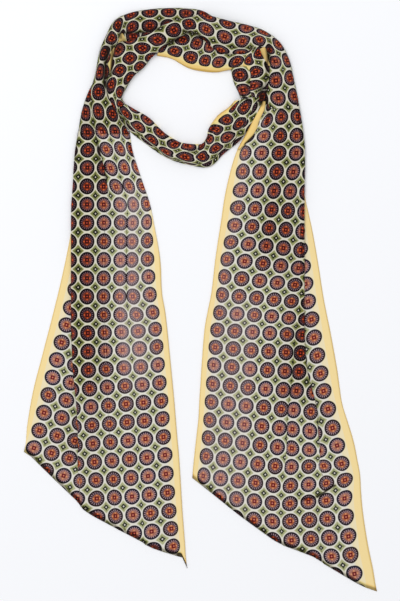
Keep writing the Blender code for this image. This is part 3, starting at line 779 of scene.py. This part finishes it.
# One medallion row of the tail, counted up from near the hem: its near edge, the lowest column,
# the long fold, column 4, a tuck, columns 5, 7 and 9, and the rim, which is the far edge.
RightRow = namedtuple(
    "RightRow",
    "row edge_x edge_y low_x low_y fold_x c4_x c4_y tuck_x c5_x c5_y c7_x c7_y c9_x c9_y rim_x rim_y",
)
RIGHT_ROWS = [
    (-8, 383, 622, 365, 628, 337.5, 310, 631, 298, 291, 631, 254, 632, 218, 628, 204, 624),
    (-6, 375.8, 586, 358, 592, 330, 302, 595, 292, 283, 595, 245, 594, 208, 590, 195, 586),
    (-5, 373, 569, 354.5, 574, 326, 298, 577, 288, 279, 577, 242, 575, 205, 571, 192, 568),
    (-4, 369, 550, 350.5, 555, 322.5, 294.5, 559, 285, 275.5, 558, 238.5, 556, 202, 552, 189.5, 549),
    (-3, 365.7, 531.5, 348.5, 536.5, 319.7, 291.5, 540.5, 282.5, 273, 540, 237, 537, 201, 533, 190, 530),
    (-2, 362.9, 512, 346, 517, 318, 290.5, 521.5, 281, 271.5, 521, 235.8, 518, 201, 514, 190.5, 511),
    (-1, 361.1, 493.5, 344.5, 498.5, 317.5, 290, 504, 281, 271.7, 503, 236.5, 499, 202, 495, 191.5, 492.5),
    (0, 360, 475, 345, 480, 324, 290, 487, 282, 273, 485, 238, 480.5, 203, 476, 192.6, 474),
    (1, 357.2, 459, 341.5, 464, 319.5, 291, 467, 284.5, 275.3, 466, 240.3, 462, 206, 456, 194.5, 454),
    (2, 353.4, 440.5, 337, 445.5, 320, 291.5, 448.5, 286.5, 277.5, 447, 242.5, 443, 208, 438, 196.5, 436),
    (3, 348.1, 423, 332.5, 428, 318, 292, 430, 287, 279.5, 428, 244.3, 424.5, 209, 420, 198.5, 418),
    (4, 342.2, 404, 328, 409, 317.5, 293, 411, 288, 281.5, 409, 246, 406, 211, 402, 199.4, 400),
    (5, 339.4, 386, 323.5, 391, 313, 296, 392, 290.5, 283.3, 390, 248, 387.5, 212.5, 384, 200.6, 382),
    (6, 337, 368.5, 320.5, 373.5, 307.5, 298.5, 373, 292.5, 285, 371, 250, 369, 213.5, 365, 201.8, 363),
    (8, 330.5, 332.5, 314, 337.5, 304.7, 302, 335, 295, 287, 334, 252.5, 332, 217, 330, 204.7, 328),
    (9, 326.8, 314.5, 311.5, 319.5, 304.5, 305.5, 319, 296.8, 288.8, 318, 254.5, 315, 219.5, 313, 208, 310),
    (10, 323.3, 296.5, 308, 301.5, 304.5, 308.3, 303, 299.5, 291, 301, 256.5, 298, 221.5, 295, 211.5, 292),
    (12, 317.9, 262, 303, 267, 304.5, 315.5, 270, 300, 298, 268, 263, 263.5, 226.5, 259, 215.5, 258),
    (14, 311.8, 228, 297, 232, 304.5, 319.5, 233, 300, 302, 231.5, 269, 228, 235, 225.5, 220.8, 223),
    (16, 304.2, 192, 291, 198, 304.6, 323.5, 193, 300, 306, 192, 274, 191, 241, 190, 226, 190),
    (18, 301, 156, 288, 160, 305, 330, 153, 300, 313, 153, 279, 153, 244, 153, 236, 153),
    (19, 300, 139, 286, 143, 303.8, 330, 136, 299, 313, 136, 280, 136, 247.5, 136.5, 245.2, 137.5),
    (20, 298, 121, 284, 125, 301, 331, 117, 296, 314, 117, 281, 116.5, 253, 126, 250, 127.5),
    (21.2, 294, 99, 281, 103, 297, 328, 95, 292, 311, 95, 278.4, 95, 263.5, 103, 261, 104.5),
]
RIGHT_TAIL = [RightRow(*numbers) for numbers in RIGHT_ROWS]
RIGHT_HEM = (
    (NEAR_EDGE, -6.3),
    (1.0, -5.5),
    (3.0, -3.97),
    (5.0, -3.0),
    (7.0, -1.72),
    (9.0, -0.52),
    (FAR_EDGE, -0.22),
)
RIGHT_TOP = 21.0
RIGHT_SLOPE = 0.31
RIGHT_SHEEN = -0.24
TUCK_SLACK = 0.06
RIGHT_SPANS = (5, 3, 22, 2, 10, 2, 2, 2, 10, 2, 2, 2, 20, 22, 9, 1)
RIGHT_STEPS = 270

# The far border turned out from under the fold, where the tail leaves the ring.
RIGHT_TAIL_TURN = [
    (-20.8, 266, 101.5, 9.46, 265, 101.5, 9.55, 264, 101.5, 9.65, 262.6, 101.5, 9.75, 2.2, 2.2),
    (-20.4, 265.2, 108, 9.44, 263.8, 108, 9.55, 262, 108, 9.65, 259.4, 108, 9.75, 2.2, 2.6),
    (-20, 263, 114, 9.44, 261, 114, 9.55, 258.8, 114, 9.65, 255.8, 114, 9.75, 2.2, 2.8),
    (-19.6, 259.4, 121, 9.44, 257.3, 121, 9.55, 254.8, 121, 9.65, 252, 121, 9.75, 2.2, 2.8),
    (-19.2, 257, 129, 9.44, 254, 129, 9.55, 251.4, 129, 9.65, 248.4, 129, 9.75, 2.0, 2.6),
    (-18.8, 252.4, 137, 9.44, 249.8, 137, 9.55, 247.2, 137, 9.65, 244.3, 137, 9.75, 1.6, 2.4),
    (-18.3, 245.8, 144, 9.44, 243.8, 144, 9.55, 242.2, 144, 9.65, 240.2, 144, 9.75, 1.2, 2.4),
    (-18, 240, 149.5, 9.44, 239.2, 149.5, 9.55, 238.4, 149.5, 9.65, 237.3, 149.5, 9.75, 0.8, 2.2),
]


def right_keys(row):
    """Where the fold's inner side is, how much it stacks up, and the key points across the tail."""
    at = between_rows(RIGHT_TAIL, row)
    if at.fold_x > at.c4_x:
        fold = 4.0 - (at.fold_x - at.c4_x) / SHOWN_COLUMN
    else:
        fold = 4.0 + (at.c4_x - at.fold_x) / (at.c4_x - at.c5_x)
    under = 1.0 + (at.low_x - at.fold_x) / SHOWN_COLUMN
    hidden = max(fold - under, 0.0)
    middle = 0.5 * (fold + under)
    fold = middle + 0.5 * hidden
    depth = 0.5 * hidden * SQUARES_A_COLUMN
    stack = ease(depth, *STACKED)
    rise = (MIDDLE_PANEL - LOWER_PANEL) * stack
    inner_x = at.fold_x - depth
    inner_y = at.low_y + RIGHT_SLOPE * (at.low_x - inner_x)
    border_x = at.low_x + BORDER_SQUARES
    border_y = at.low_y - RIGHT_SLOPE * BORDER_SQUARES
    tilt = (at.c5_y - at.c7_y) / (at.c5_x - at.c7_x)
    fold_y = at.c5_y + tilt * (at.fold_x - at.c5_x)
    if stack < 0.5:
        fold_y += (0.5 * (at.low_y + at.c4_y) - fold_y) * (1.0 - 2.0 * stack)
        inner_y += (fold_y - inner_y) * (1.0 - 2.0 * stack)
    if at.c4_x < at.fold_x:
        tuck_near = 4.0 + (at.c4_x - at.tuck_x) / SHOWN_COLUMN
        tuck_far = 5.0 - (at.tuck_x - at.c5_x) / SHOWN_COLUMN
    else:
        tuck_near = tuck_far = 7.0 + (fold - 7.0) * (at.tuck_x - at.c7_x) / (at.fold_x - at.c7_x)
    hidden_tuck = max(tuck_far - tuck_near - TUCK_SLACK, 0.0)
    tuck_middle = 0.5 * (tuck_far + tuck_near)
    tuck_near = tuck_middle - 0.5 * hidden_tuck
    tuck_far = tuck_middle + 0.5 * hidden_tuck
    tuck_depth = 0.5 * hidden_tuck * SQUARES_A_COLUMN
    tuck_y = at.c5_y + tilt * (at.tuck_x - at.c5_x)
    dip = TUCK_DIP * ease(tuck_depth, *TUCKED)
    tuck_dark = TUCK_SHADE * ease(tuck_depth, *TUCKED)
    # Painted shade: near is the shade by the fold and the tuck, lighter near the hem; pale is a painted
    # sheen.
    high = ease(row, 3.0, 7.0)
    near = 0.15 + 0.95 * high
    upper = ease(row, 9.0, 14.0)
    pale = RIGHT_SHEEN
    top = SINGLE_PANEL
    keys = [
        Key(NEAR_EDGE, at.edge_x, at.edge_y, EDGE_HEIGHT),
        Key(BORDER_COLUMN, border_x, border_y, BORDER_HEIGHT),
        Key(1.0, at.low_x, at.low_y, LOWER_PANEL),
        Key(middle - 0.02, inner_x, inner_y, LOWER_PANEL, 0, 0.6 * stack),
        Key(middle, inner_x + 0.1, inner_y, LOWER_PANEL + rise, 0, 0.6 * stack),
        Key(fold - 0.06 * hidden, at.fold_x - 0.06 * depth, fold_y, LOWER_PANEL + rise, 0, 0.6 * stack),
        Key(fold, at.fold_x, fold_y, LOWER_PANEL + 1.4 * rise, 0, 0.7 * stack),
        Key(fold + 0.04, at.fold_x - 0.5, fold_y, top - 0.3 * rise, 1, near + 0.3 * stack),
        Key(fold + 0.12, at.fold_x - 1.8, fold_y, top, 1, near + 0.1 * stack),
        Key(tuck_near - 0.1, at.tuck_x + 1.6, tuck_y, top + dip, 1, near),
        Key(tuck_near, at.tuck_x, tuck_y, top + 0.3 * dip, 1, near + 0.6 * tuck_dark),
        Key(tuck_far, at.tuck_x + 0.3 * tuck_depth, tuck_y, top - dip, 1, tuck_dark),
        Key(tuck_far + 0.08, at.tuck_x - 1.0, tuck_y, top + 0.2 * dip, 1, 0.6 * near + 0.3 * tuck_dark),
        Key(7.0, at.c7_x, at.c7_y, top, 1, 0.85 * near * upper + pale * (1.0 - upper)),
        Key(9.0, at.c9_x, at.c9_y, top, 1, pale),
        Key(FAR_EDGE - 0.03, at.rim_x + 0.5, at.rim_y, SINGLE_PANEL, 1),
        Key(FAR_EDGE, at.rim_x, at.rim_y, EDGE_HEIGHT, 1),
    ]
    return inner_x, stack, keys


mesh = new_cloth()
lay_tail(mesh, right_keys, RIGHT_HEM, RIGHT_TOP, RIGHT_SPANS, RIGHT_STEPS, side=-1)
lay_fold(mesh, RIGHT_TAIL_TURN, shade=0.75)
right_tail = finished("right_tail_cloth", mesh, "right_tail", CLOTH_THICKNESS)

# The outer left stretch
# The same strip, gathered into a loose flattened fold. It leaves the left tail, runs up the outer
# left side and over the top, and goes under the crossing.

OUTER_LEFT = [
    (18.9, 94.6, 134.2, 6.55, 102.3, 134, 7, 115.9, 133.7, 8, 129.4, 134, 9.2, 0.8, 3.4),
    (20, 91, 111, 6.5, 98, 111.5, 7, 112.8, 114.3, 8, 119.8, 115.5, 8.5, 0.8, 4.2),
    (21, 90.8, 92, 6.55, 98.5, 92.3, 7, 105.5, 92.3, 7.42, 108, 93, 7.55, 0.5, 5.0),
    (22, 95.4, 72.5, 6.55, 99.6, 72.3, 7, 102.5, 72.5, 7.25, 105.2, 73, 7.5, 0.2, 5.6),
    (23, 99.4, 51.5, 6.55, 104, 53, 7, 107, 54, 7.25, 110.3, 55, 7.5, 0.2, 5.6),
    (24, 105.8, 36, 6.5, 112, 38.3, 7, 115.5, 40.5, 7.3, 118.5, 42.5, 7.55, 0.2, 5.6),
    (25, 114.5, 20.5, 6.6, 118.3, 25.5, 7, 120.5, 30, 7.4, 122, 34, 7.7, 0.2, 5.6),
    (26, 130.5, 12.7, 6.9, 131, 14, 7, 131.5, 27, 8, 132, 34.5, 8.45, 0.2, 5.2),
    (27, 150, 9.2, 6.7, 150, 11.8, 7, 150, 26, 8, 149, 33.5, 8.45, 0.2, 4.6),
    (28, 169, 8, 6.7, 169, 11.5, 7, 168, 25.5, 8, 166, 33, 8.5, 0.2, 4.2),
    (29, 186.5, 8.3, 6.6, 186.5, 12.8, 7, 184, 28, 8, 181, 36, 8.5, 0.2, 4.2),
    (30, 203, 11, 6.8, 204, 14, 7, 199, 27, 8, 194, 38, 8.6, 0.2, 4.2),
    (31, 218, 20, 6.7, 216, 24, 7, 208, 36, 8, 203, 43, 8.5, 0.2, 4.2),
]
OUTER_LEFT_BACK = [
    (18.9, 78.0, 133.5, 4.43, 88.1, 134.5, 5, 93.3, 134.5, 5.3, 99, 134.3, 5.62, 0.4, 3.2),
    (20, 81.6, 112, 4.75, 85.8, 113, 5, 89.5, 113, 5.35, 95, 113, 5.8, 0.2, 3.2),
    (21, 87.8, 93, 4.95, 91, 94.5, 5.2, 94, 94.5, 5.5, 98, 95, 5.9, 0.2, 3.0),
    (21.7, 94.5, 80, 5.0, 96, 80, 5.3, 98, 80, 5.5, 101, 80, 5.8, 0.2, 2.2),
]
OUTER_LEFT_BORDER = [
    (21.2, 101.5, 86, 8.6, 104.5, 85.5, 8.9, 108, 85.5, 9.3, 110, 85.5, 9.42, 0.2, 3.4),
    (22, 102.5, 72, 8.6, 105, 72, 8.9, 108.8, 72, 9.38, 111.5, 72, 9.55, 0.2, 3.8),
    (23, 104.5, 57, 8.6, 107, 57, 8.9, 110, 57, 9.4, 113.5, 57, 9.6, 0.2, 4.0),
    (24, 108, 43, 8.6, 110.5, 43.5, 8.9, 112, 44, 9.42, 116, 44.5, 9.6, 0.2, 3.6),
]
OUTER_LEFT_LAP = [
    (24.4, 115, 37, 9.2, 117, 40, 9.3, 118, 43, 9.35, 118.5, 47, 9.4, 0.2, 3.0),
    (24.9, 119.5, 30, 9.1, 120, 34, 9.45, 120.5, 37, 9.5, 121, 44.5, 9.6, 0.2, 3.4),
    (25.2, 122.5, 30, 9.1, 123, 34, 9.45, 123.5, 37, 9.5, 124, 44.5, 9.6, 0.2, 3.4),
    (25.55, 125, 30, 8.7, 125.5, 34, 8.9, 126, 38, 9.1, 126.5, 44.5, 9.3, 0.2, 3.4),
    (26, 133, 30, 8.6, 133.5, 34, 8.85, 134, 38, 9.1, 134.5, 44.5, 9.4, 0.2, 3.4),
    (27, 149, 29, 8.5, 147.5, 33, 8.75, 146.5, 36, 8.95, 145.5, 41, 9.2, 0.2, 3.2),
]
mesh = new_cloth()
lay_fold(mesh, OUTER_LEFT, shade=1.25)
lay_fold(mesh, OUTER_LEFT_BACK, shade=1.4)
lay_fold(mesh, OUTER_LEFT_BORDER, shade=1.1)
lay_fold(mesh, OUTER_LEFT_LAP, shade=1.4)
outer_left = finished("outer_left_cloth", mesh, "outer_left_wrap")

# The inner back stretch
# The next length of the loose fold. It comes out from under the crossing with its far border on
# the inner side of the ring, and turns down the right.

INNER_BACK = [
    (-53, 170, 26, 7.1, 167, 36, 8, 160, 47.5, 9, 157, 55.8, 9.65, 0.2, 4.1),
    (-52, 187, 27, 7.1, 183, 40.5, 8, 174, 51, 9, 171.5, 58.8, 9.58, 0.2, 4.1),
    (-51, 201, 29, 7.1, 197, 43.5, 8, 191, 58, 9, 188, 68, 9.7, 0.2, 4.1),
    (-50, 214, 33, 7.2, 210, 47, 8, 205, 61, 9, 203, 71.5, 9.78, 0.2, 4.1),
    (-49, 228, 35, 7.3, 223, 48, 8, 218, 63, 9, 217, 72.3, 9.7, 0.2, 4.3),
    (-48.1, 243, 40, 7.4, 240, 49, 8, 235.5, 61.2, 9, 230, 70, 9.5, 0.2, 4.5),
    (-47.4, 256, 44, 7.5, 252, 52, 8, 246, 62, 9, 242, 70, 9.5, 0.2, 4.6),
]
INNER_BACK_CORNER = [
    (-47.5, 252, 66, 7.35, 246, 66.5, 7.65, 239.5, 67.5, 8, 231, 68.5, 8.3, 0.3, 5.0),
    (-47, 254, 75, 7.35, 247, 75, 7.6, 240.3, 75, 8, 231.8, 75.5, 8.3, 0.3, 5.2),
    (-46.5, 255, 83, 7.35, 248, 82.5, 7.65, 242, 83, 8, 234.3, 84, 8.25, 0.3, 5.2),
    (-46, 256, 90, 7.35, 249, 90, 7.7, 243.5, 90.5, 8, 237.8, 91.5, 8.15, 0.3, 5.2),
    (-45.4, 257, 98, 7.3, 250, 98, 7.6, 246, 98, 8, 240.5, 98, 8.15, 0.3, 5.0),
]
INNER_BACK_TURN = [
    (-48.8, 268, 40, 7.4, 260, 41, 8, 250, 49, 9, 245, 52, 9.4, 0.5, 5.0),
    (-48, 267, 50, 7.3, 257.5, 53.5, 8, 248, 61, 9, 241, 64.5, 9.7, 0.6, 5.6),
    (-47.5, 269, 58, 7.9, 261, 61.5, 8.3, 252, 66, 9, 244.5, 69, 9.7, 0.7, 5.7),
    (-47, 270.5, 68, 8.3, 264.5, 70, 8.5, 256, 72, 9, 248.5, 73.5, 9.25, 0.8, 5.7),
    (-46, 269.5, 85, 8.4, 264, 86, 8.5, 253, 86.5, 9, 247, 87, 9.15, 0.8, 5.7),
    (-45.4, 267, 91, 7.95, 262, 91.5, 8.1, 251, 93, 8.9, 247, 93, 9.2, 0.6, 5.4),
    (-45, 266.5, 97, 7.7, 262, 97.5, 8, 251, 98.5, 8.85, 246, 99, 9.2, 0.4, 4.6),
    (-44.5, 265.5, 104, 7.7, 259, 104, 8.1, 250, 104, 8.9, 246, 104, 9.2, 0.2, 3.6),
]
mesh = new_cloth()
lay_fold(mesh, INNER_BACK, shade=0.85)
lay_fold(mesh, INNER_BACK_CORNER, shade=0.95)
lay_fold(mesh, INNER_BACK_TURN, shade=0.95)
inner_back = finished("inner_back_cloth", mesh, "inner_back_wrap")

# The front stretch
# The strip folded narrow, with a second fold under its lower edge. It crosses the front of the
# ring from right to left, above the tails.

FRONT = [
    (-45.5, 263, 97, 7.1, 249, 98, 8, 243, 99, 8.42, 234.5, 101, 9.78, 0.4, 5.8),
    (-45, 257.5, 106, 7.15, 244.5, 107.8, 8, 237, 108, 8.44, 229, 107, 9.78, 0.4, 6.0),
    (-44, 248, 123.5, 7.4, 240, 124.5, 8, 227, 120.5, 9, 217.5, 115.8, 9.6, 0.4, 6.3),
    (-43, 235.6, 140.5, 7.4, 227, 138, 8, 216.5, 129.5, 9, 209, 128, 9.12, 0.4, 6.4),
    (-42, 223, 151.3, 7.4, 215.5, 149, 8, 209.5, 139, 9, 206.7, 137, 9.02, 0.4, 6.4),
    (-41, 208, 164, 7.4, 201, 157, 8, 202, 147, 8.8, 202, 143.6, 9.12, 0.4, 6.4),
    (-40.4, 198, 165, 7.4, 193, 157.5, 8, 196, 148, 9, 196, 144.2, 9.15, 0.4, 6.4),
    (-40, 188.5, 164, 7.4, 184.5, 157.7, 8, 186, 147, 8.8, 187, 143.5, 9.0, 0.4, 6.4),
    (-39, 168, 157.3, 7.4, 164.5, 152.5, 8, 174.8, 145.3, 9, 178, 141.2, 9.12, 0.4, 6.4),
    (-38, 147, 142, 7.4, 151.7, 141, 8, 160, 132, 9, 164, 132.3, 9.1, 0.4, 6.3),
    (-37, 131, 128.5, 7.4, 138.3, 127.7, 8, 148, 119.3, 9, 149.5, 118, 9.1, 0.4, 6.1),
    (-36, 120.3, 112.5, 7.5, 125.5, 115, 8, 131, 110, 8.6, 133.5, 108.5, 8.8, 0.4, 5.9),
    (-35.6, 117, 107.5, 7.5, 122, 107, 8, 124.5, 105, 8.4, 126.5, 104.3, 8.6, 0.4, 5.9),
]
FRONT_UNDER = [
    (-45.4, 264.5, 103, 5.3, 258, 102, 5.7, 253, 101, 6.1, 249, 100, 6.3, 0.4, 4.6),
    (-45, 262, 109.5, 5.3, 254, 109, 5.7, 247, 108, 6.1, 243, 108, 6.3, 0.4, 4.8),
    (-44.4, 256, 120, 5.3, 249, 119.5, 5.7, 243, 119, 6.1, 240, 118, 6.3, 0.4, 4.8),
    (-43.6, 245.7, 133, 5.3, 239, 130, 5.7, 234, 127, 6.1, 231, 125, 6.3, 0.4, 4.4),
    (-43, 238.4, 142, 5.3, 230, 137, 5.7, 224, 133, 6.1, 220, 130, 6.3, 0.2, 3.8),
    (-42, 223.5, 154.2, 5.3, 216, 148, 5.7, 212, 144, 6.1, 209, 140, 6.3, 0.2, 3.4),
    (-41, 209.5, 166.8, 5.6, 205, 159, 6, 203, 155, 6.2, 202, 150, 6.4, 0.2, 3.4),
    (-40, 190, 165.2, 5.6, 190, 159, 6, 191, 155, 6.2, 192, 150, 6.4, 0.2, 3.2),
    (-39, 167, 158, 5.6, 170, 152, 6, 173, 149, 6.2, 175, 146, 6.4, 0.2, 3.2),
    (-38, 144.8, 143.2, 5.6, 150, 139, 6, 154, 136, 6.2, 158, 133, 6.4, 0.2, 3.2),
    (-37, 127.6, 129.2, 5.5, 134, 125, 6, 138, 122, 6.2, 142, 119, 6.4, 0.2, 3.2),
    (-36.2, 117.5, 114, 5.5, 123, 112, 6, 127, 110, 6.2, 130, 108, 6.4, 0.2, 3.0),
]
mesh = new_cloth()
lay_fold(mesh, FRONT, shade=0.95)
lay_fold(mesh, FRONT_UNDER, shade=1.1)
front = finished("front_cloth", mesh, "front_wrap")

# The inner left stretch
# The narrow fold carried on. It turns up the left inside of the ring and climbs over the outer
# stretch at the top, where it lies loose.

INNER_LEFT = [
    (-36.6, 117, 114, 7.2, 120, 112, 7.5, 124, 110, 8, 128, 108.5, 8.4, 0.2, 3.6),
    (-35.9, 111.5, 106, 7.0, 115, 104, 7.4, 120, 103, 8, 124.5, 102.5, 8.5, 0.3, 6.0),
    (-35, 105, 85, 6.55, 112, 84, 7, 119, 94, 7.95, 122.6, 96, 8.3, 0.3, 6.2),
    (-34, 111, 67.5, 6.4, 120, 70.5, 7, 130, 78, 7.9, 133, 77.5, 8.15, 0.3, 6.4),
    (-33, 114.5, 48, 5.75, 130, 58.7, 7, 141, 67.5, 8, 143.5, 68, 8.15, 0.3, 6.6),
    (-32.6, 119, 41.5, 5.75, 135, 54.5, 7, 145, 63.5, 7.95, 147, 64, 8.1, 0.4, 6.6),
    (-32, 129, 40.8, 6.15, 143, 48.3, 7, 150, 57.5, 7.8, 151.5, 58, 7.95, 0.5, 6.6),
    (-31, 148.5, 33, 6.4, 158, 41, 7, 163.5, 46, 7.5, 165, 47, 7.7, 3.5, 6.2),
    (-30, 170, 22.3, 6.5, 174, 31, 7, 178, 37, 7.4, 179.5, 38.5, 7.55, 4.8, 5.6),
    (-29, 187.5, 18, 6.55, 189.3, 24, 7, 190, 30, 7.4, 190.3, 32, 7.55, 4.8, 5.6),
    (-28.4, 198.5, 14.8, 6.2, 199, 27.5, 7, 198, 33.5, 7.4, 197.3, 35, 7.5, 4.8, 5.6),
]
mesh = new_cloth()
lay_fold(mesh, INNER_LEFT, shade=1.1)
inner_left = finished("inner_left_cloth", mesh, "inner_left_wrap")

# The outer right stretch
# The fold as it opens out again. It comes down off the crossing, round the upper right, and
# becomes the right tail.

OUTER_RIGHT = [
    (-28.4, 198.5, 14.8, 6.2, 199, 27.5, 7, 198, 33.5, 7.4, 197.3, 35, 7.5, 4.8, 5.6),
    (-28, 208, 15.5, 6.0, 206.3, 30, 7, 204, 38.5, 7.6, 203.5, 40, 7.7, 4.8, 5.6),
    (-27, 228, 20.7, 5.8, 224.8, 37, 7, 222, 45.3, 7.5, 220, 53, 8.1, 4.4, 5.7),
    (-26, 247.5, 25, 5.8, 242.3, 41.7, 7, 241.5, 48.5, 7.45, 241, 54.5, 8.0, 2.2, 6.0),
    (-25, 265, 31, 5.8, 259.5, 39, 7, 257, 46.5, 7.45, 256, 49, 7.6, 0.4, 6.4),
    (-24, 280.5, 43, 5.9, 275.5, 46, 6.3, 269, 51, 7, 265.5, 51, 7.4, 0.3, 6.5),
    (-23, 289.5, 60.5, 5.9, 287.8, 60.5, 6, 276, 61.5, 7, 268.5, 62, 7.38, 0.3, 6.3),
    (-22, 293.5, 77.5, 5.85, 290.5, 78, 6, 276, 81, 7, 267, 81.5, 7.42, 0.3, 6.0),
    (-21, 297.5, 96, 5.85, 295, 96, 6, 278.3, 98.5, 7, 266, 99, 7.6, 0.3, 5.0),
    (-20.7, 298.6, 101.5, 5.85, 296, 102, 6, 279, 104, 7, 265.8, 104, 7.7, 0.3, 4.6),
    (-20.45, 299.2, 107.5, 5.85, 296.6, 108, 6, 280, 108.4, 7, 267, 109, 7.75, 0.3, 4.2),
]
OUTER_RIGHT_BORDER = [
    (-24.8, 266.5, 46.5, 9.44, 264, 47.5, 9.55, 261.5, 48.5, 9.65, 258.5, 50, 9.75, 0.6, 6.0),
    (-24.4, 267.5, 53, 9.44, 265.8, 53.5, 9.5, 264, 54, 9.6, 261, 55.5, 9.7, 0.6, 6.0),
    (-24, 269, 60, 9.44, 267.8, 60.3, 9.5, 266.6, 60.6, 9.55, 264.5, 61, 9.65, 0.6, 6.0),
    (-23.7, 270.5, 66, 9.44, 269.7, 66, 9.48, 269, 66, 9.5, 268, 66, 9.55, 0.6, 5.6),
]
mesh = new_cloth()
lay_fold(mesh, OUTER_RIGHT, shade=0.75)
lay_fold(mesh, OUTER_RIGHT_BORDER, shade=1.3)
outer_right = finished("outer_right_cloth", mesh, "outer_right_wrap")

# The white table and the studio light
# A plain pale surface, lit evenly from all round with one large soft lamp up and to the left.

TABLE_REACH = 2.0
TABLE_WHITE = (0.925, 0.935, 0.965, 1.0)
STUDIO_WHITE = (1.0, 1.0, 1.0, 1.0)
STUDIO_STRENGTH = 0.80
LAMP_SIZE = 1.2
LAMP_POWER = 16.0
LAMP_PLACE = (-0.9, 1.1, 1.8)

table_mesh = bmesh.new()
bmesh.ops.create_grid(table_mesh, x_segments=1, y_segments=1, size=TABLE_REACH)
table_data = bpy.data.meshes.new("table")
table_mesh.to_mesh(table_data)
table_mesh.free()
table_nodes = Nodes("white_table")
paper = table_nodes.add(
    "ShaderNodeBsdfPrincipled",
    {},
    {"Base Color": TABLE_WHITE, "Roughness": 1.0, "Specular IOR Level": 0.0},
)
table_nodes.add("ShaderNodeOutputMaterial", {}, {"Surface": paper.outputs[0]})
table_data.materials.append(table_nodes.material)
table = bpy.data.objects.new("table", table_data)
bpy.context.scene.collection.objects.link(table)

scene = bpy.context.scene
world = bpy.data.worlds.new("studio")
world.use_nodes = True
world.node_tree.nodes["Background"].inputs["Color"].default_value = STUDIO_WHITE
world.node_tree.nodes["Background"].inputs["Strength"].default_value = STUDIO_STRENGTH
scene.world = world
scene.view_settings.view_transform = "Standard"

lamp_data = bpy.data.lights.new("soft_lamp", "AREA")
lamp_data.shape = "DISK"
lamp_data.size = LAMP_SIZE
lamp_data.energy = LAMP_POWER
lamp = bpy.data.objects.new("soft_lamp", lamp_data)
lamp.location = LAMP_PLACE
aim = -lamp.location
lamp.rotation_euler = aim.to_track_quat("-Z", "Y").to_euler()
scene.collection.objects.link(lamp)

CAMERA_HEIGHT = 4.0
SENSOR = 36.0
PICTURE_WIDTH = 400
PICTURE_HEIGHT = 601
camera_data = bpy.data.cameras.new("camera")
camera_data.sensor_fit = "VERTICAL"
camera_data.sensor_height = SENSOR
camera_data.lens = SENSOR * CAMERA_HEIGHT / (PICTURE_HEIGHT * SQUARE)
camera = bpy.data.objects.new("camera", camera_data)
camera.location = on_table(0.5 * PICTURE_WIDTH, 0.5 * PICTURE_HEIGHT, CAMERA_HEIGHT / MM)
scene.collection.objects.link(camera)
scene.camera = camera
